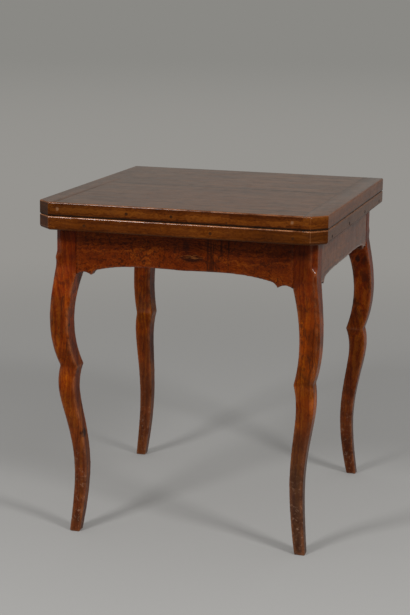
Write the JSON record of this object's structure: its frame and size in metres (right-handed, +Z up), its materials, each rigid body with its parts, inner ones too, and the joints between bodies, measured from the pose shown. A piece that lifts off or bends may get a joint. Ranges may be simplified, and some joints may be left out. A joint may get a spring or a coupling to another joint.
{
  "type": "folding games table",
  "caption": "Square games table in walnut: a turning, fold-over double top with cut front corners on a scalloped frame with curved, cusped legs and a well under the top.",
  "frame": {"origin": "on the floor, under the middle of the whole folded table", "axes": "+Z up, -Y to the front, where the leaves' corners are cut, +X to the right as seen from the front"},
  "size_m": [0.617, 0.6712, 0.73],
  "materials": {
    "walnut_leg": "waxed",
    "walnut_apron": "waxed",
    "walnut_top": "waxed",
    "walnut_cleat": "waxed",
    "peg_wood": "matte",
    "inner_wood": "matte",
    "hinge_brass": "dull",
    "pivot_iron": "matte",
    "screw_steel": "dull"
  },
  "bodies": {
    "frame": {"apron_front": "walnut_apron", "apron_left": "walnut_apron", "apron_rear": "walnut_apron", "apron_right": "walnut_apron", "draw_pegs": "peg_wood", "floor_ledger_front": "inner_wood", "floor_ledger_rear": "inner_wood", "ledger_nails": "screw_steel", "leg_front_left": "walnut_leg", "leg_front_right": "walnut_leg", "leg_rear_left": "walnut_leg", "leg_rear_right": "walnut_leg", "pivot_bearer": "inner_wood", "pivot_bush": "pivot_iron", "well_floor_board_1": "inner_wood", "well_floor_board_2": "inner_wood", "well_floor_board_3": "inner_wood"},
    "lower_leaf": {"hinge_pin_left": "screw_steel", "hinge_pin_right": "screw_steel", "lower_hinge_plate_left": "hinge_brass", "lower_hinge_plate_right": "hinge_brass", "lower_hinge_screws": "screw_steel", "lower_leaf_cleat_pegs": "peg_wood", "lower_leaf_edge_plugs": "peg_wood", "lower_leaf_front_board": "walnut_top", "lower_leaf_left_cleat": "walnut_cleat", "lower_leaf_rear_board": "walnut_top", "lower_leaf_right_cleat": "walnut_cleat", "pivot_cotter": "pivot_iron", "pivot_nut": "pivot_iron", "pivot_plate": "pivot_iron", "pivot_plate_screws": "screw_steel", "pivot_stud": "pivot_iron", "pivot_washer": "pivot_iron", "turn_stop_batten": "inner_wood", "turn_stop_screws": "screw_steel"},
    "upper_leaf": {"upper_hinge_plate_left": "hinge_brass", "upper_hinge_plate_right": "hinge_brass", "upper_hinge_screws": "screw_steel", "upper_leaf_cleat_pegs": "peg_wood", "upper_leaf_edge_plugs": "peg_wood", "upper_leaf_front_board": "walnut_top", "upper_leaf_left_cleat": "walnut_cleat", "upper_leaf_rear_board": "walnut_top", "upper_leaf_right_cleat": "walnut_cleat"}
  },
  "joints": [
    {"name": "turn", "type": "hinge", "parent": "frame", "child": "lower_leaf", "pos_m": [0.15375, 0.16965, 0.671], "axis": [0, 0, 1], "range_deg": [0, 90]},
    {"name": "fold", "type": "hinge", "parent": "lower_leaf", "child": "upper_leaf", "pos_m": [0, 0.3234, 0.70055], "axis": [-1, 0, 0], "range_deg": [0, 180]}
  ]
}
